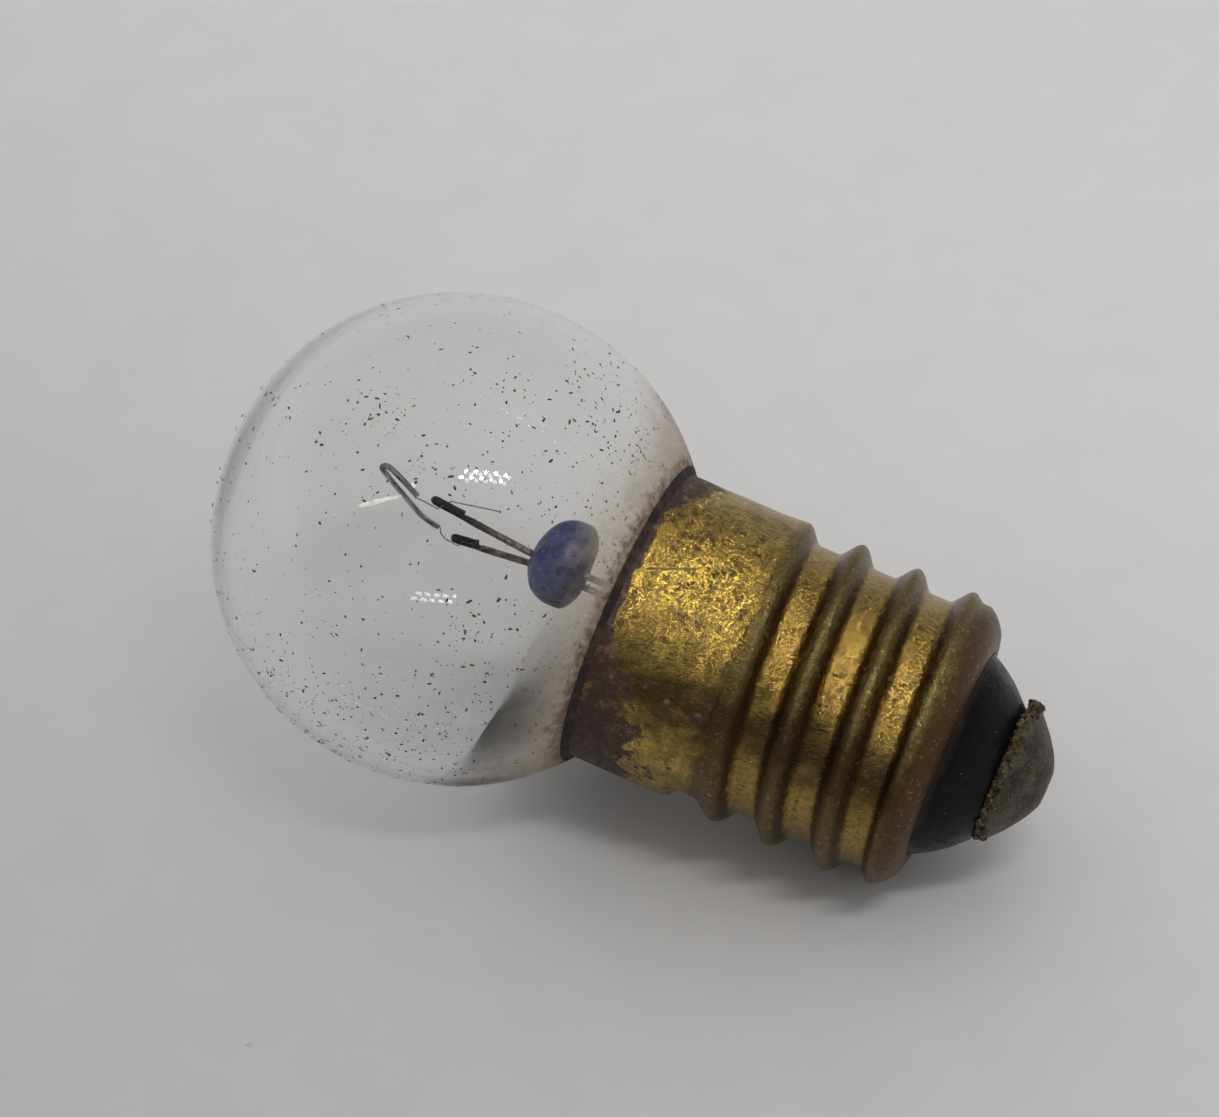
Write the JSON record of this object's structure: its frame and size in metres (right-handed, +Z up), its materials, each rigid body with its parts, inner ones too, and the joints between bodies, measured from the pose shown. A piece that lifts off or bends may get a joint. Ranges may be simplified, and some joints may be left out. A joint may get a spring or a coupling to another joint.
{
  "type": "dead miniature screw lamp",
  "caption": "Dead clear globe lamp with tarnished brass screw cap, black glass insulator, solder contact, blue bead mount and broken-down filament, lying on its side.",
  "frame": {"origin": "centre of the lamp's footprint, on the surface that it lies on", "axes": "+Z up, +X along the lying lamp from the globe towards the contact, whose end dips towards the surface"},
  "size_m": [0.0266, 0.015, 0.015],
  "materials": {
    "clear_glass": "clear with brown specks and haze at the neck",
    "blue_glass": "melted bead",
    "oxidised_wire": "dark oxide",
    "tungsten": "dull grey coil",
    "tarnished_brass": "tarnished, brown heat stain at the rim",
    "cement": "matt",
    "black_glass": "glossy black",
    "contact_brass": "plain",
    "dull_solder": "dull grey-brown, lumpy"
  },
  "bodies": {
    "root": {"glass_envelope": "clear_glass", "butt_seal": "clear_glass", "glass_bead": "blue_glass", "lead_wire_centre": "oxidised_wire", "lead_wire_shell": "oxidised_wire", "filament": "tungsten", "screw_shell": "tarnished_brass", "basing_cement": "cement", "insulator": "black_glass", "contact_eyelet": "contact_brass", "centre_solder": "dull_solder", "side_solder": "dull_solder"}
  },
  "joints": []
}
